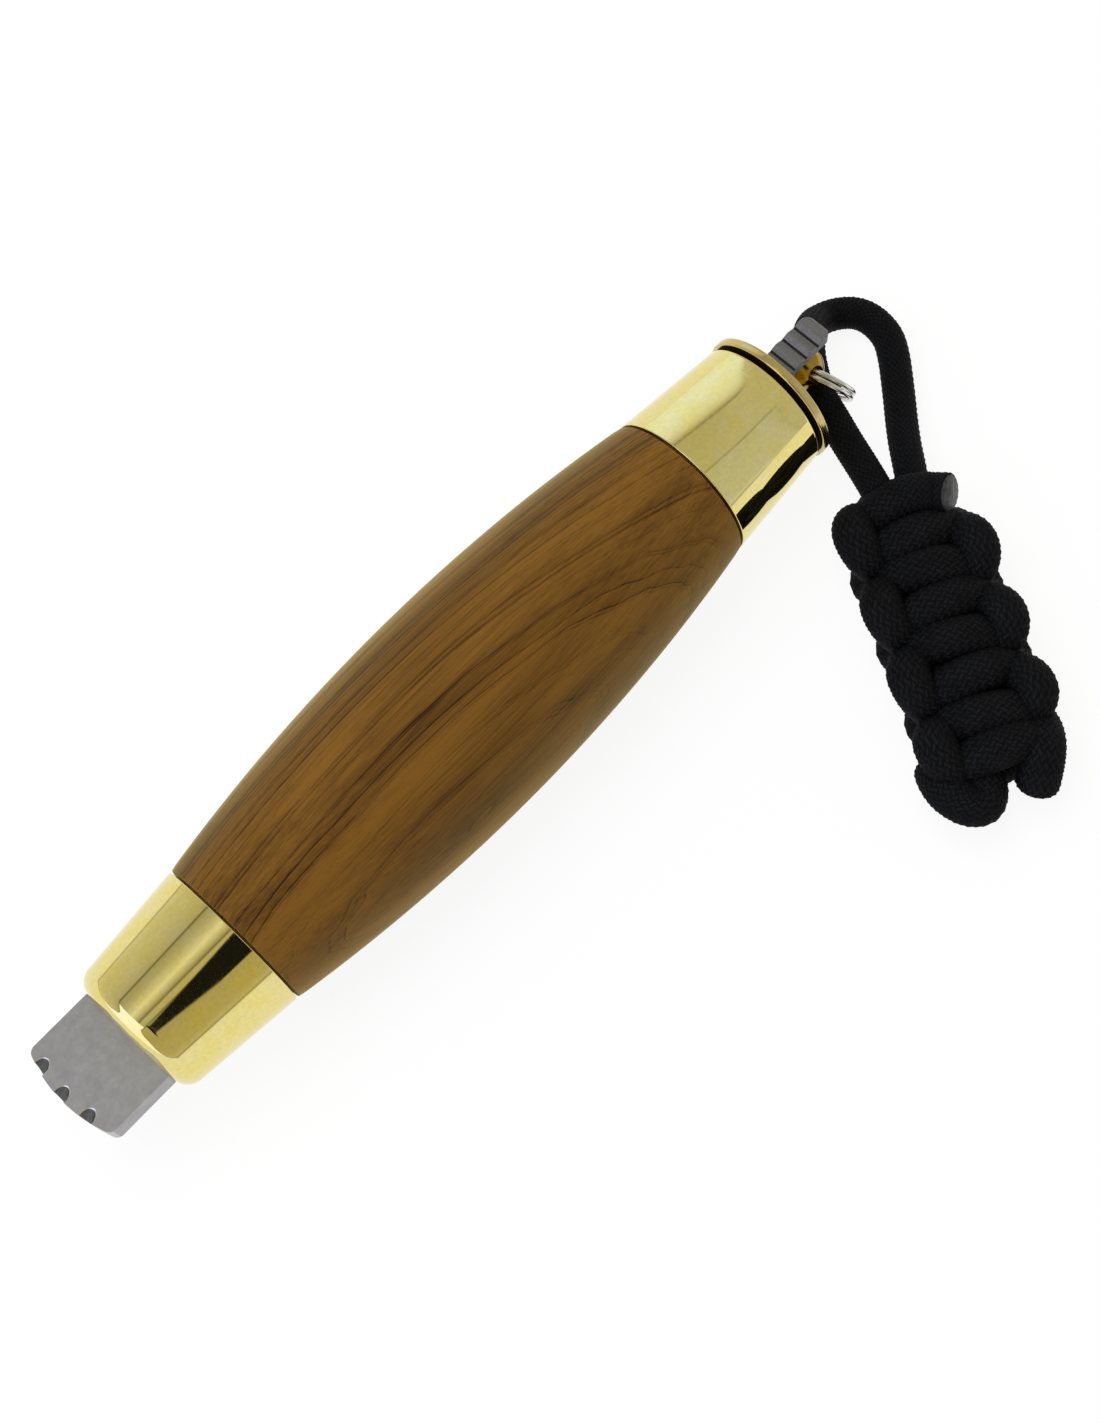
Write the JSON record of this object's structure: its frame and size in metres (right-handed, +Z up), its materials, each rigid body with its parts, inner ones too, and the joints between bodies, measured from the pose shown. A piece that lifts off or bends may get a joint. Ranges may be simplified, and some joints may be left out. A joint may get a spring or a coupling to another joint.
{
  "type": "barrel knife",
  "caption": "Barrel knife: a turned wood barrel with brass ends holds a sliding frame that carries a folding blade, a latch tongue and a woven cord lanyard on a split ring.",
  "frame": {"origin": "under the middle of the knife's length, on the surface that the barrel lies on", "axes": "+X along the barrel towards the latch and lanyard end, +Z up, the lanyard lies towards -Y"},
  "size_m": [0.134, 0.0663, 0.0252],
  "materials": {
    "barrel_wood": "oiled satin",
    "front_ferrule": "polished",
    "rear_ferrule": "polished",
    "frame_liner_top": "satin",
    "frame_liner_bottom": "satin",
    "rear_block": "satin",
    "block_rivet_left": "satin",
    "block_rivet_right": "satin",
    "blade": "fine satin",
    "pivot_pin": "satin",
    "end_disc": "polished",
    "eye_post": "polished",
    "leaf_rivet_front": "satin",
    "leaf_rivet_rear": "satin",
    "latch_spring": "bead blasted",
    "split_ring": "bright",
    "lanyard_loop": "braided",
    "lanyard_weave": "braided"
  },
  "bodies": {
    "barrel": {"barrel_wood": "barrel_wood", "front_ferrule": "front_ferrule", "rear_ferrule": "rear_ferrule"},
    "frame": {"frame_liner_top": "frame_liner_top", "frame_liner_bottom": "frame_liner_bottom", "rear_block": "rear_block", "block_rivet_left": "block_rivet_left", "block_rivet_right": "block_rivet_right", "blade": "blade", "pivot_pin": "pivot_pin", "end_disc": "end_disc", "eye_post": "eye_post", "leaf_rivet_front": "leaf_rivet_front", "leaf_rivet_rear": "leaf_rivet_rear"},
    "latch": {"latch_spring": "latch_spring"},
    "lanyard": {"split_ring": "split_ring", "lanyard_loop": "lanyard_loop", "lanyard_weave": "lanyard_weave"}
  },
  "joints": [
    {"name": "frame_slide", "type": "slide", "parent": "barrel", "child": "frame", "axis": [1, 0, 0], "range_m": [0, 0.115]},
    {"name": "latch_press", "type": "hinge", "parent": "frame", "child": "latch", "pos_m": [0.00668, 0, 0.01608], "axis": [0, 1, 0], "range_deg": [0, 1.8], "stiffness_Nm_per_rad": 8},
    {"name": "lanyard_swing", "type": "hinge", "parent": "frame", "child": "lanyard", "pos_m": [0.05713, 0, 0.01258], "axis": [0, -0.9135, 0.4067], "range_deg": [0, 90]}
  ]
}
